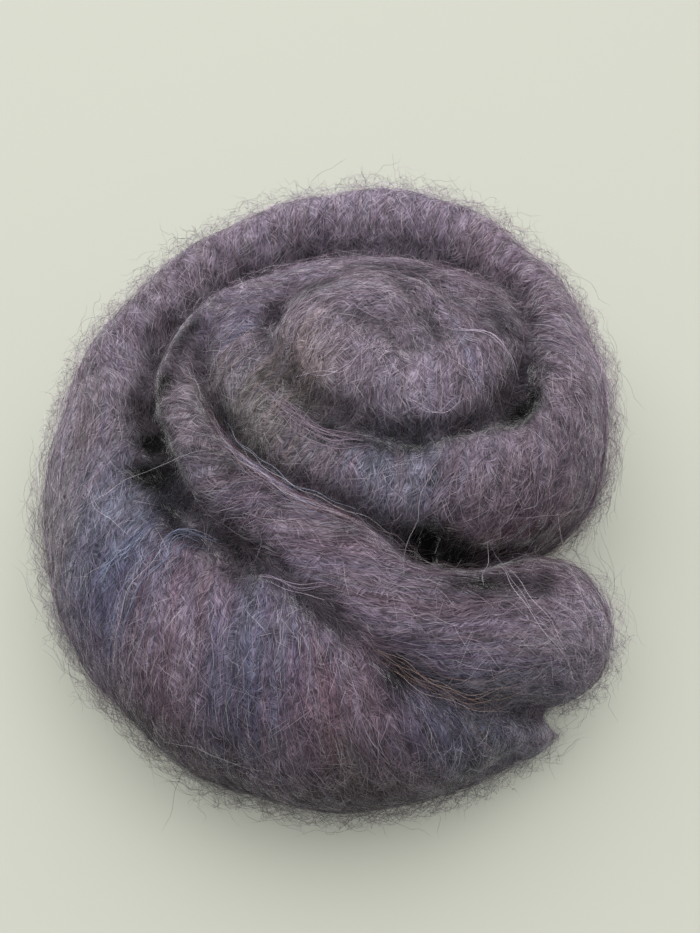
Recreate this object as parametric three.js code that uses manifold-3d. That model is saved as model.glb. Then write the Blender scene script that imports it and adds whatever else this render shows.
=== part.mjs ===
// A nest of carded fibre: one thick soft roll, doubled and wound into a bun that rests on a table.
// Millimetres, +Z up. The origin is the middle of the flat underside.

import * as THREE from "three";
import { mergeVertices } from "three/addons/utils/BufferGeometryUtils.js";
import Module from "manifold-3d";

// Driving dimensions
const ringPoints = 24; // points round one section of the roll
const ringStep = 6; // distance between two sections along the roll
const capSteps = 4; // sections in a rounded end
const furrowSpacing = 36; // shallow slanting furrows across the roll, where the fibre draws in
const furrowStarts = 3; // furrows that wind side by side, so each slants by three spacings a turn
const furrowDepth = 1.4;
const shallowFurrow = 1 / 12; // furrows are never deeper than this part of the half width
const endReach = 0.9; // length of a rounded end, in half widths
const rowsPerLength = 5; // the roll is joined from lengths this many rows long
const mergeReach = 1e-4; // corners closer than this are one
const tableSlab = { side: 400, depth: 100 }; // what lies below the table top is cut away

// Each row is a section of the roll: its centre, half its width and half its height.
// The outer strand starts at the thin tip in front, runs clockwise round the nest, bends at the
// right, winds inwards and upwards, and ends in the swirl on top.
const outerStrand = [
  { x: 75, y: -83, z: 10, halfWidth: 2, halfHeight: 3 },
  { x: 68, y: -84, z: 13, halfWidth: 8, halfHeight: 10 },
  { x: 55, y: -86, z: 18, halfWidth: 14, halfHeight: 17 },
  { x: 37.5, y: -88, z: 25, halfWidth: 20, halfHeight: 24 },
  { x: 19, y: -87, z: 29, halfWidth: 26, halfHeight: 30 },
  { x: -2, y: -81, z: 31, halfWidth: 32, halfHeight: 33 },
  { x: -25, y: -69, z: 32, halfWidth: 35, halfHeight: 34 },
  { x: -47, y: -49.5, z: 32, halfWidth: 34, halfHeight: 34 },
  { x: -62.5, y: -26.5, z: 32, halfWidth: 30, halfHeight: 34 },
  { x: -69.5, y: 1, z: 32, halfWidth: 25, halfHeight: 33 },
  { x: -68.5, y: 30.5, z: 32, halfWidth: 20, halfHeight: 33 },
  { x: -56, y: 57, z: 32, halfWidth: 17, halfHeight: 33 },
  { x: -36, y: 78.5, z: 32.5, halfWidth: 15.5, halfHeight: 33 },
  { x: -8.5, y: 92, z: 33, halfWidth: 15.5, halfHeight: 33 },
  { x: 21.5, y: 94, z: 34.5, halfWidth: 16.5, halfHeight: 35 },
  { x: 45, y: 85.5, z: 35.5, halfWidth: 16.5, halfHeight: 36 },
  { x: 62.5, y: 67, z: 37, halfWidth: 17, halfHeight: 37 },
  { x: 73.5, y: 44.5, z: 39, halfWidth: 18, halfHeight: 38 },
  { x: 75.5, y: 19, z: 41, halfWidth: 20, halfHeight: 40 },
  { x: 69.5, y: -4.5, z: 42, halfWidth: 23, halfHeight: 40 },
  { x: 48, y: -16.5, z: 46, halfWidth: 22, halfHeight: 34 },
  { x: 24.5, y: -16, z: 50, halfWidth: 18, halfHeight: 24 },
  { x: 3.5, y: -7.5, z: 52, halfWidth: 17, halfHeight: 20 },
  { x: -13.5, y: 7.5, z: 53, halfWidth: 17, halfHeight: 20 },
  { x: -25.5, y: 26.5, z: 54, halfWidth: 16, halfHeight: 19 },
  { x: -25, y: 45.5, z: 53, halfWidth: 13, halfHeight: 18 },
  { x: -9.5, y: 57, z: 53, halfWidth: 11, halfHeight: 16 },
  { x: 12, y: 61, z: 53, halfWidth: 11, halfHeight: 15 },
  { x: 34, y: 57, z: 55, halfWidth: 12, halfHeight: 15 },
  { x: 49.5, y: 47, z: 59, halfWidth: 13, halfHeight: 16 },
  { x: 54, y: 32, z: 62, halfWidth: 14, halfHeight: 17 },
  { x: 44, y: 16, z: 62, halfWidth: 17, halfHeight: 19 },
  { x: 27, y: 12, z: 62, halfWidth: 18, halfHeight: 19 },
  { x: 8.5, y: 20.5, z: 62, halfWidth: 19, halfHeight: 19 },
  { x: -1, y: 32.5, z: 63, halfWidth: 19, halfHeight: 19 },
  { x: 7, y: 42, z: 63, halfWidth: 18, halfHeight: 18 },
  { x: 20.5, y: 43.5, z: 63.5, halfWidth: 17, halfHeight: 17 },
  { x: 32, y: 39, z: 63, halfWidth: 14, halfHeight: 15 },
  { x: 39, y: 32, z: 61, halfWidth: 9, halfHeight: 12 },
];

// The inner strand starts at the blunt lobe at the right, crosses the nest as a wide band and
// goes on as the first ridge at the left, until it sinks in behind the bun and ends there.
const innerStrand = [
  { x: 68.5, y: -56, z: 30, halfWidth: 25, halfHeight: 27 },
  { x: 43, y: -62, z: 41, halfWidth: 25, halfHeight: 23 },
  { x: 24, y: -56, z: 46, halfWidth: 22, halfHeight: 20 },
  { x: 5, y: -42.5, z: 49, halfWidth: 17, halfHeight: 19 },
  { x: -14, y: -28.5, z: 50, halfWidth: 15, halfHeight: 18 },
  { x: -32, y: -15, z: 51, halfWidth: 13, halfHeight: 17 },
  { x: -43.5, y: 2.5, z: 52, halfWidth: 12, halfHeight: 17 },
  { x: -46.5, y: 21.5, z: 53, halfWidth: 11, halfHeight: 16 },
  { x: -41, y: 39.5, z: 54, halfWidth: 10, halfHeight: 15 },
  { x: -27, y: 54, z: 51, halfWidth: 9, halfHeight: 15 },
  { x: -9, y: 65.5, z: 48, halfWidth: 10, halfHeight: 14 },
  { x: 9, y: 70, z: 46, halfWidth: 10, halfHeight: 13 },
  { x: 27, y: 70, z: 45, halfWidth: 10, halfHeight: 13 },
  { x: 43, y: 63, z: 43, halfWidth: 9, halfHeight: 12 },
  { x: 54, y: 52, z: 41, halfWidth: 7, halfHeight: 10 },
];

// The fibre that fills the dimple of the swirl from below.
const swirlFill = [
  { x: 7, y: 29, z: 60, halfWidth: 15, halfHeight: 17 },
  { x: 23, y: 28, z: 60, halfWidth: 17, halfHeight: 17 },
  { x: 38, y: 27, z: 59, halfWidth: 15, halfHeight: 17 },
];

// The turns under the nest are an even coil of the same roll, seen only from below.
const underCoil = {
  x: 0,
  y: 19,
  firstRadius: 43,
  lastRadius: 9,
  lengthwise: 1.25,
  turns: 1.35,
  startAngle: -45,
  rowCount: 13,
  z: 18,
  halfWidth: 18,
  halfHeight: 19.5,
};

// The heart of the nest is the packed fibre between the turns, in two steps.
const lowerHeart = {
  bottom: 12,
  top: 37,
  rounding: 4,
  roundingSteps: 3,
  pointsPerCorner: 3,
  outline: [
    { x: -62, y: -20 },
    { x: -45, y: -48 },
    { x: -10, y: -74 },
    { x: 26, y: -74 },
    { x: 50, y: -60 },
    { x: 52, y: -30 },
    { x: 62, y: 0 },
    { x: 68, y: 38 },
    { x: 46, y: 76 },
    { x: 10, y: 88 },
    { x: -34, y: 72 },
    { x: -62, y: 36 },
  ],
};
const upperHeart = { x: 12, y: 24, halfLength: 34, halfBreadth: 30, bottom: 30, top: 59 };

const wasm = await Module();
wasm.setup();

// A closed three.js geometry as a solid that can be joined and cut.
function toSolid(geometry) {
  const bare = geometry.clone();
  bare.deleteAttribute("normal");
  bare.deleteAttribute("uv");
  const merged = mergeVertices(bare, mergeReach);
  const mesh = new wasm.Mesh({
    numProp: 3,
    vertProperties: new Float32Array(merged.attributes.position.array),
    triVerts: new Uint32Array(merged.index.array),
  });
  return new wasm.Manifold(mesh);
}

function toGeometry(solid) {
  const mesh = solid.getMesh();
  const geometry = new THREE.BufferGeometry();
  geometry.setAttribute("position", new THREE.BufferAttribute(mesh.vertProperties, 3));
  geometry.setIndex(new THREE.BufferAttribute(mesh.triVerts, 1));
  geometry.computeVertexNormals();
  return geometry;
}

// Sections at even steps along a strand, smoothly between its rows.
function strandSections(rows) {
  const centres = rows.map((row) => new THREE.Vector3(row.x, row.y, row.z));
  const halves = rows.map((row) => new THREE.Vector3(row.halfWidth, row.halfHeight, 0));
  const route = new THREE.CatmullRomCurve3(centres, false, "catmullrom", 0.5);
  const girth = new THREE.CatmullRomCurve3(halves, false, "catmullrom", 0.5);
  const spans = rows.length - 1;
  const sections = [];
  let along = 0;
  for (let span = 0; span < spans; span += 1) {
    const length = centres[span].distanceTo(centres[span + 1]);
    const steps = Math.max(1, Math.round(length / ringStep));
    const last = span === spans - 1 ? steps : steps - 1;
    for (let step = 0; step <= last; step += 1) {
      const u = (span + step / steps) / spans;
      const half = girth.getPoint(u);
      sections.push({
        centre: route.getPoint(u),
        forward: route.getTangent(u),
        halfWidth: half.x,
        halfHeight: half.y,
        along: along + (length * step) / steps,
        row: step === 0 || step === steps ? span + step / steps : null,
      });
    }
    along += length;
  }
  return sections;
}

// The points of one section: an upright ellipse across the strand, drawn in by the furrows.
function sectionPoints(section, shrink = 1, ahead = 0) {
  const side = new THREE.Vector3(0, 0, 1).cross(section.forward).normalize();
  const up = section.forward.clone().cross(side);
  const centre = section.centre.clone().addScaledVector(section.forward, ahead);
  const points = [];
  for (let i = 0; i < ringPoints; i += 1) {
    const angle = (2 * Math.PI * i) / ringPoints;
    const phase = (2 * Math.PI * section.along) / furrowSpacing - furrowStarts * angle;
    const depth = Math.min(furrowDepth, section.halfWidth * shallowFurrow);
    const drawIn = (depth * (1 - Math.cos(phase))) / 2;
    const acrossRadius = (section.halfWidth - drawIn) * shrink;
    const upRadius = (section.halfHeight - drawIn) * shrink;
    const point = centre.clone();
    point.addScaledVector(side, acrossRadius * Math.cos(angle));
    point.addScaledVector(up, upRadius * Math.sin(angle));
    points.push(point);
  }
  return { centre, points };
}

// Rings of a rounded end, from the last full section out to the pole.
function endRings(section, direction) {
  const reach = section.halfWidth * endReach;
  const rings = [];
  for (let step = 1; step < capSteps; step += 1) {
    const angle = (Math.PI / 2) * (step / capSteps);
    rings.push(sectionPoints(section, Math.cos(angle), direction * reach * Math.sin(angle)));
  }
  const pole = section.centre.clone().addScaledVector(section.forward, direction * reach);
  return { rings, pole };
}

// A closed skin through the rings, with a pole at each end.
function skin(rings, firstPole, lastPole) {
  const positions = [];
  const triangle = (a, b, c) => positions.push(...a.toArray(), ...b.toArray(), ...c.toArray());
  for (let k = 0; k + 1 < rings.length; k += 1) {
    const near = rings[k].points;
    const far = rings[k + 1].points;
    for (let i = 0; i < ringPoints; i += 1) {
      const next = (i + 1) % ringPoints;
      triangle(near[i], far[next], far[i]);
      triangle(near[i], near[next], far[next]);
    }
  }
  const first = rings[0].points;
  const last = rings[rings.length - 1].points;
  for (let i = 0; i < ringPoints; i += 1) {
    const next = (i + 1) % ringPoints;
    triangle(firstPole, first[next], first[i]);
    triangle(lastPole, last[i], last[next]);
  }
  const geometry = new THREE.BufferGeometry();
  geometry.setAttribute("position", new THREE.Float32BufferAttribute(positions, 3));
  return geometry;
}

// A strand lies against its own turns, so it is joined from lengths that each stay clear of themselves.
function strandSolids(rows) {
  const sections = strandSections(rows);
  const cuts = [0];
  sections.forEach((section, k) => {
    const between = k > 0 && k < sections.length - 1;
    if (between && section.row !== null && section.row % rowsPerLength === 0) cuts.push(k);
  });
  cuts.push(sections.length - 1);
  const solids = [];
  for (let c = 0; c + 1 < cuts.length; c += 1) {
    const length = sections.slice(cuts[c], cuts[c + 1] + 1);
    const rings = length.map((section) => sectionPoints(section));
    let firstPole = rings[0].centre;
    let lastPole = rings[rings.length - 1].centre;
    if (c === 0) {
      const end = endRings(length[0], -1);
      rings.unshift(...end.rings.reverse());
      firstPole = end.pole;
    }
    if (c === cuts.length - 2) {
      const end = endRings(length[length.length - 1], 1);
      rings.push(...end.rings);
      lastPole = end.pole;
    }
    solids.push(toSolid(skin(rings, firstPole, lastPole)));
  }
  return solids;
}

function underCoilRows(coil) {
  const rows = [];
  for (let k = 0; k < coil.rowCount; k += 1) {
    const part = k / (coil.rowCount - 1);
    const radius = THREE.MathUtils.lerp(coil.firstRadius, coil.lastRadius, part);
    const angle = THREE.MathUtils.degToRad(coil.startAngle - 360 * coil.turns * part);
    rows.push({
      x: coil.x + radius * Math.cos(angle),
      y: coil.y + radius * coil.lengthwise * Math.sin(angle),
      z: coil.z,
      halfWidth: coil.halfWidth,
      halfHeight: coil.halfHeight,
    });
  }
  return rows;
}

function lowerHeartSolid({ outline, bottom, top, rounding, roundingSteps, pointsPerCorner }) {
  const points = outline.map((point) => new THREE.Vector3(point.x, point.y, 0));
  const loop = new THREE.CatmullRomCurve3(points, true, "catmullrom", 0.5);
  const shape = new THREE.Shape(loop.getPoints(outline.length * pointsPerCorner).slice(0, -1));
  const settings = {
    depth: top - bottom - 2 * rounding,
    bevelThickness: rounding,
    bevelSize: rounding,
    bevelOffset: -rounding,
    bevelSegments: roundingSteps,
  };
  return toSolid(new THREE.ExtrudeGeometry(shape, settings).translate(0, 0, bottom + rounding));
}

function upperHeartSolid({ x, y, halfLength, halfBreadth, bottom, top }) {
  const plug = new THREE.CylinderGeometry(1, 1, top - bottom, ringPoints);
  plug.rotateX(Math.PI / 2);
  plug.scale(halfLength, halfBreadth, 1);
  return toSolid(plug.translate(x, y, (top + bottom) / 2));
}

// Everything under the table's height, which the roll's weight presses flat.
function belowTable() {
  const slab = new THREE.BoxGeometry(tableSlab.side, tableSlab.side, tableSlab.depth);
  return toSolid(slab.translate(0, 0, -tableSlab.depth / 2));
}

function battRoll() {
  const parts = [
    ...strandSolids(outerStrand),
    ...strandSolids(innerStrand),
    ...strandSolids(swirlFill),
    ...strandSolids(underCoilRows(underCoil)),
    lowerHeartSolid(lowerHeart),
    upperHeartSolid(upperHeart),
  ];
  const joined = parts.reduce((all, part) => all.add(part)).subtract(belowTable());
  // Pockets that the turns close off between them are packed with fibre, so only the outside is kept.
  const shells = joined.decompose().sort((a, b) => b.volume() - a.volume());
  const geometry = toGeometry(shells[0]);
  geometry.computeBoundingBox();
  const middle = geometry.boundingBox.getCenter(new THREE.Vector3());
  geometry.translate(-middle.x, -middle.y, -geometry.boundingBox.min.z);
  const fibre = new THREE.MeshStandardMaterial({ color: 0x6f6874, roughness: 1, metalness: 0 });
  const mesh = new THREE.Mesh(geometry, fibre);
  mesh.name = "batt_roll";
  return mesh;
}

const group = new THREE.Group();
group.add(battRoll());

export default group;
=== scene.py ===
# A carded fibre batt, wound into a nest: a soft streaky body under several layers of loose hair.
# Metres and +Z up in Blender; the tables and sizes below are in millimetres, and mm turns them.

import bmesh
import bpy
import math
import numpy as np
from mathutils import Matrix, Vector
from mathutils.bvhtree import BVHTree
from mathutils.kdtree import KDTree


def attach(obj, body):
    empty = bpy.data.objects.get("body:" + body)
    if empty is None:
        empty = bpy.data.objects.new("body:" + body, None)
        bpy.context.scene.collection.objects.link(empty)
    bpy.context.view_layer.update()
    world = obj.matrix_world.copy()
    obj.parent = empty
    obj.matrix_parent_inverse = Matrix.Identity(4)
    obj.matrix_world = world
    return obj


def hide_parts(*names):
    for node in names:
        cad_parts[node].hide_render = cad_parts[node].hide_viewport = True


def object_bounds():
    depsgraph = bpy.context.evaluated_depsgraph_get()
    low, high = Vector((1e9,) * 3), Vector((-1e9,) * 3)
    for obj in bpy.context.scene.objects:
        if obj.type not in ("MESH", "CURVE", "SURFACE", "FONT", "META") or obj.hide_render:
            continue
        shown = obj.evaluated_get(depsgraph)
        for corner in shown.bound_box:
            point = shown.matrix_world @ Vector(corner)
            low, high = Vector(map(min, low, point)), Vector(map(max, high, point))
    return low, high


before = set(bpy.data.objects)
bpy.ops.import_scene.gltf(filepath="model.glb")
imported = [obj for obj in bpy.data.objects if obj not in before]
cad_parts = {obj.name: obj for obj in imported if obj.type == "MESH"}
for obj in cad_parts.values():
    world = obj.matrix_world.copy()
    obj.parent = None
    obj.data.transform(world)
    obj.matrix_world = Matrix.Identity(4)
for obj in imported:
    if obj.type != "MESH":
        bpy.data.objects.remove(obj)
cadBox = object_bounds()
mm = 0.001
nestNode = "batt_roll"

# Where the middle of the nest lies among the strand rows, which fixes their place in the frame
nestMiddle = np.array([0.43, -1.24, 0.0])

# Rows along each strand: centre, half width, half height, and the fibre's lean in degrees,
# where 0 runs round the section and 90 runs along the strand.
outerStrand = [
    (75, -83, 10, 2, 3, 65),
    (68, -84, 13, 8, 10, 60),
    (55, -86, 18, 14, 17, 50),
    (37.5, -88, 25, 20, 24, 40),
    (19, -87, 29, 26, 30, 36),
    (-2, -81, 31, 32, 33, 30),
    (-25, -69, 32, 35, 34, 28),
    (-47, -49.5, 32, 34, 34, 30),
    (-62.5, -26.5, 32, 30, 34, 45),
    (-69.5, 1, 32, 25, 33, 75),
    (-68.5, 30.5, 32, 20, 33, 135),
    (-56, 57, 32, 17, 33, 150),
    (-36, 78.5, 32.5, 15.5, 33, 155),
    (-8.5, 92, 33, 15.5, 33, 168),
    (21.5, 94, 34.5, 16.5, 35, 178),
    (45, 85.5, 35.5, 16.5, 36, 188),
    (62.5, 67, 37, 17, 37, 190),
    (73.5, 44.5, 39, 18, 38, 180),
    (75.5, 19, 41, 20, 40, 150),
    (69.5, -4.5, 42, 23, 40, 160),
    (48, -16.5, 46, 22, 34, 165),
    (24.5, -16, 50, 18, 24, 182),
    (3.5, -7.5, 52, 17, 20, 180),
    (-13.5, 7.5, 53, 17, 20, 176),
    (-25.5, 26.5, 54, 16, 19, 200),
    (-25, 45.5, 53, 13, 18, 210),
    (-9.5, 57, 53, 11, 16, 258),
    (12, 61, 53, 11, 15, 262),
    (34, 57, 55, 12, 15, 266),
    (49.5, 47, 59, 13, 16, 290),
    (54, 32, 62, 14, 17, 322),
    (44, 16, 62, 17, 19, 338),
    (27, 12, 62, 18, 19, 360),
    (8.5, 20.5, 62, 19, 19, 366),
    (-1, 32.5, 63, 19, 19, 410),
    (7, 42, 63, 18, 18, 435),
    (20.5, 43.5, 63.5, 17, 17, 448),
    (32, 39, 63, 14, 15, 430),
    (39, 32, 61, 9, 12, 420),
]
innerStrand = [
    (68.5, -56, 30, 25, 27, 45),
    (43, -62, 41, 25, 23, 103),
    (24, -56, 46, 22, 20, 110),
    (5, -42.5, 49, 17, 19, 115),
    (-14, -28.5, 50, 15, 18, 130),
    (-32, -15, 51, 13, 17, 150),
    (-43.5, 2.5, 52, 12, 17, 158),
    (-46.5, 21.5, 53, 11, 16, 152),
    (-41, 39.5, 54, 10, 15, 150),
    (-27, 54, 51, 9, 15, 150),
    (-9, 65.5, 48, 10, 14, 150),
    (9, 70, 46, 10, 13, 150),
    (27, 70, 45, 10, 13, 150),
    (43, 63, 43, 9, 12, 150),
    (54, 52, 41, 7, 10, 150),
]

palette = {
    "mauve": "8a7c8b",
    "lilac": "a89bae",
    "slate": "56618a",
    "navy": "2c3662",
    "mist": "8790a8",
    "olive": "7b7c70",
    "tan": "8f7a70",
    "rose": "876a7e",
    "maroon": "583846",
    "umber": "403c36",
}

# Patches of dyed fibre that were carded in, and dark rows at the low front that are painted shade:
# a place on the nest, how far it reaches, its dye and how much of the fibre there has it.
dyePatches = [
    ((-67, -25, 65), 24, "mist", 0.5),
    ((-66, -54, 58), 20, "slate", 0.5),
    ((-70, -60, 53), 13, "navy", 0.8),
    ((-50, -28, 62), 12, "navy", 0.5),
    ((-17, -70, 65), 22, "slate", 0.7),
    ((-22, -90, 58), 16, "navy", 0.9),
    ((-40, -66, 63), 14, "lilac", 0.7),
    ((-62, -38, 64), 12, "mist", 0.6),
    ((-12, -62, 64), 14, "mist", 0.7),
    ((53, -86, 42), 24, "slate", 0.8),
    ((30, -84, 55), 14, "navy", 0.7),
    ((-49, -76, 58), 14, "rose", 0.6),
    ((-36, -50, 62), 14, "rose", 0.5),
    ((2, -84, 62), 15, "rose", 0.8),
    ((0, -86, 60), 17, "maroon", 0.5),
    ((43, -58, 62), 20, "maroon", 0.3),
    ((50, -88, 42), 18, "navy", 0.5),
    ((-46, 4, 66), 11, "maroon", 0.25),
    ((5, 33, 78), 16, "lilac", 0.9),
    # The maroon rows here are partly dye and partly painted shade, and the umber rows are painted shade:
    # they darken the low front.
    ((14, -100, 48), 13, "maroon", 0.8),
    ((-49, -90, 45), 13, "maroon", 0.9),
    ((-30, -101, 36), 20, "umber", 0.9),
    ((8, -110, 36), 20, "umber", 0.9),
    ((45, -100, 34), 16, "umber", 0.8),
    ((-21, 6, 70), 18, "olive", 0.7),
    ((-24, -19, 67), 9, "maroon", 0.7),
    ((19, -17, 72), 15, "mist", 0.8),
    ((-9, 21, 76), 12, "tan", 0.8),
    ((-30, 38, 71), 10, "slate", 0.6),
    ((30, 8, 79), 16, "lilac", 0.45),
    ((60, -64, 58), 10, "rose", 0.6),
    ((75, -67, 51), 10, "olive", 0.7),
    ((56, -78, 46), 14, "olive", 0.6),
    ((80, -56, 53), 18, "lilac", 0.9),
    ((64, -72, 56), 14, "lilac", 0.5),
    ((-92, 0, 40), 26, "olive", 0.6),
    ((-84, -30, 45), 16, "olive", 0.6),
    ((67, -30, 52), 20, "maroon", 0.9),
    ((42, -36, 52), 12, "maroon", 0.8),
    ((-85, 9, 57), 20, "lilac", 0.4),
    ((3, -48, 65), 22, "rose", 0.4),
    ((60, 70, 55), 30, "rose", 0.3),
    ((-20, 82, 62), 24, "lilac", 0.6),
    ((18, 88, 66), 30, "lilac", 0.8),
]

# Where a crease is strong or weak: a place, how far it reaches and what is added to the
# crease's strength of 1.
creaseSpots = [
    ((48, -50, 58), 9, 0.4),
    ((-52, -12, 60), 18, 0.4),
    ((-34, -42, 56), 14, 0.4),
    ((-39, 30, 65), 10, -0.2),
    ((42, 35, 75), 12, -0.9),    # the end of the swirl's strand, felted over
    ((-20, 40, 68), 9, 0.2),
    ((18, 72, 62), 30, -0.75),
    ((-30, 62, 62), 20, -0.5),
    ((73, -37, 48), 12, -0.5),
]

# Dark pockets: a place, how far it reaches, how deep it is drawn in and the light that it loses
pockets = [
    ((60, 4, 74), 6.5, 4.0, 0.97),     # under the swirl's right end
    ((32, -36, 54), 8.0, 4.0, 0.97),   # between the bend and the band
    ((42, -39, 50), 5.0, 1.0, 0.8),
    ((-59, 12, 60), 6.0, 1.0, 0.45),   # down the outer turn's slope to the ridge at the left
    ((-55, 0, 59), 6.5, 1.6, 0.75),
    ((-54, -13, 61), 7.0, 2.0, 0.85),
    ((-48, -24, 60), 6.0, 1.0, 0.6),
    ((-38, -37, 60), 6.0, 0.6, 0.45),
    ((-25, -48, 60), 6.0, 0.6, 0.45),
    ((40, -50, 62), 6.0, 0.3, 0.5),    # the band's upper edge, under the bend
    ((48, -50, 60), 6.0, 0.5, 0.75),
    ((57, -49, 57), 6.0, 0.3, 0.55),
    ((65, -49, 56), 6.0, 0.3, 0.45),
    ((55, -35, 45), 6.0, 0.5, 0.5),
    ((-6, 4, 71), 6.0, 0.3, 0.4),      # round the swirl's foot, from left to right
    ((1, -2, 71), 6.0, 0.8, 0.6),
    ((10, -6, 71), 6.0, 0.8, 0.6),
    ((18, -9, 72), 6.0, 0.5, 0.5),
    ((28, -8, 70), 6.0, 0.8, 0.65),
    ((43, -3, 70), 6.0, 0.5, 0.5),
    ((51, -3, 74), 5.0, 0.5, 0.45),
    ((58, -1, 76), 6.0, 1.0, 0.8),
    ((63, 6, 77), 5.0, 0.5, 0.5),
    ((-44, 39, 68), 6.5, 0.8, 0.55),   # between the outer turn and the ridge at the left
    ((-48, 30, 69), 6.5, 1.0, 0.6),
    ((-53, 18, 66), 6.5, 1.0, 0.7),
    ((-57, -13, 63), 6.5, 0.8, 0.45),
    ((-45, -31, 62), 7.0, 0.8, 0.6),
    ((22, -79, 58), 7.0, 0.8, 0.6),    # where the front tucks under the band
    ((57, 32, 78), 7.0, 0.5, 0.55),    # the slopes that look away from the window
    ((-3, 49, 76), 7.0, 0.3, 0.5),
    ((17, 65, 66), 8.0, 0.5, 0.45),
    ((30, 61, 69), 8.0, 0.5, 0.4),
    ((7, -31, 64), 7.0, 0.3, 0.45),
    ((-13, -21, 66), 6.0, 0.3, 0.4),
    ((-18, 16, 73), 6.0, 0.3, 0.4),
    ((65, 16, 75), 7.0, 0.3, 0.45),
    ((54, 41, 77), 7.0, 0.3, 0.3),
    ((-28, -13, 66), 6.0, 0.3, 0.45),
    ((-56, -86, 39), 10.0, 0.0, 0.4),  # the shaded side of the front
    ((46, -103, 25), 12.0, 2.5, 0.0),  # the tapered tip's lower edge, a little slimmer than the solid
    ((60, -95, 22), 10.0, 2.5, 0.0),
]

# Places where the fibre lies combed and straight: a place and how far it reaches
combedSpots = [((-20, -72, 60), 34), ((25, -90, 50), 30), ((15, -52, 64), 22)]


def paint(hexCode):
    # A screen colour's code as the linear colour that shaders take
    shade = [int(hexCode[i:i + 2], 16) / 255 for i in (0, 2, 4)]
    return np.array([c / 12.92 if c <= 0.04045 else ((c + 0.055) / 1.055) ** 2.4 for c in shade])


def unit(vectors):
    return vectors / np.maximum(np.linalg.norm(vectors, axis=-1, keepdims=True), 1e-9)


def between(values, low, high):
    # How far each value has come from low to high, from 0 to 1
    return np.clip((values - low) / (high - low), 0, 1)


def smoothRows(rows, step):
    # Rows about one step apart on a smooth curve through the given rows
    table = np.array(rows, float)
    padded = np.vstack([2 * table[0] - table[1], table, 2 * table[-1] - table[-2]])
    parts = []
    for k in range(len(table) - 1):
        a, b, c, d = padded[k:k + 4]
        count = max(1, round(np.linalg.norm(c[:3] - b[:3]) / step))
        t = np.arange(count)[:, None] / count
        bend = (2 * a - 5 * b + 4 * c - d) * t**2 + (3 * b - a - 3 * c + d) * t**3
        parts.append(0.5 * (2 * b + (c - a) * t + bend))
    parts.append(table[-1:])
    return np.vstack(parts)


flowSettings = {
    "rowStep": 3.0,      # mm between two sections that carry the fibre's direction
    "around": 40,        # samples round a section
    "capRings": 4,       # rings over a strand's rounded end
    "capReach": 0.9,     # its length, in half widths
    "choices": 8,        # nearest samples that a point of the body chooses from
    "farness": 6.0,      # mm of distance that weigh as much as a turned normal
    "evenPasses": 6,     # how often the directions are evened out between neighbours
}


def strandFlow(rows):
    # Points on a strand's skin, with the outward normal and the fibre's direction at each
    sections = smoothRows(rows, flowSettings["rowStep"])
    forward = unit(np.gradient(sections[:, :3], axis=0))
    caps = flowSettings["capRings"]
    stations = [(i, 0.0, 1.0) for i in range(len(sections))]
    for i, sign in ((0, -1.0), (len(sections) - 1, 1.0)):
        for ring in range(1, caps + 1):
            angle = math.pi / 2 * ring / (caps + 0.5)
            reach = sections[i, 3] * flowSettings["capReach"]
            stations.append((i, sign * reach * math.sin(angle), math.cos(angle)))
    turn = np.linspace(0, 2 * math.pi, flowSettings["around"], endpoint=False)[:, None]
    points, normals, flows = [], [], []
    for i, ahead, shrink in stations:
        x, y, z, halfWidth, halfHeight, lean = sections[i]
        side = unit(np.cross([0, 0, 1], forward[i]))
        up = np.cross(forward[i], side)
        ring = halfWidth * shrink * np.cos(turn) * side + halfHeight * shrink * np.sin(turn) * up
        outward = unit(np.cos(turn) / halfWidth * side + np.sin(turn) / halfHeight * up)
        outward = unit(outward * shrink + forward[i] * np.sign(ahead) * math.sqrt(1 - shrink**2))
        roundWay = unit(halfHeight * np.cos(turn) * up - halfWidth * np.sin(turn) * side)
        angle = math.radians(lean)
        points.append(np.array([x, y, z]) + forward[i] * ahead + ring)
        normals.append(outward)
        flows.append(math.cos(angle) * roundWay + math.sin(angle) * forward[i])
    return np.vstack(points) - nestMiddle, np.vstack(normals), np.vstack(flows)


bodySettings = {
    "weld": 0.01,          # mm within which the solid's corners are joined
    "voxel": 1.45,         # mm, the grain of the body's mesh
    "rounding": 8,         # smoothing passes over the solid's facets, each half way
    "sunk": 1.0,           # mm that the body lies under the solid's face, to leave room for hair
    "rimSunk": 1.2,        # mm more at the rim, where the fibre is a thin web
    "rimStart": (0.74, 0.92),   # shares of the way out between which the rim begins
    "seat": (1.0, 5.0),         # mm of height between which the underside is pressed to the table
    "seatFacing": (0.2, 0.7),   # how far down it looks there: the least, and enough for all of it
    "lumps": 1.6,          # mm, height of broad soft unevenness
    "lumpSize": 24.0,      # mm
    "locks": 0.3,          # mm, height of the combed locks
    "lockPasses": 14,      # how long the locks are drawn out along the fibre
    "dyePasses": 26,       # how long the dyed streaks are drawn out
    "combStep": 2.2,       # mm that one pass draws along the fibre
    "felted": ((42, 35, 75), 13.0, 0.9, 90),  # where the swirl's end melts in: place, reach, share, passes
    "cleft": ((23, 54), (37, 30), 3.4, 3.2),  # the parting on the swirl: two ends, half width, depth
    "cleftAbove": 60.0,         # mm, the height over which the swirl lies
    "creasePasses": 8,     # how softly a crease begins
    "creases": (           # smoothing passes that find a crease, its full depth in mm,
        (24, 1.3, 0.55, 0.6),   # the share of light it loses and how far it is sunk in mm
        (90, 3.8, 0.45, 0.8),
        (320, 9.0, 0.5, 0.0),
    ),
    "seed": 7,
}
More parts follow.
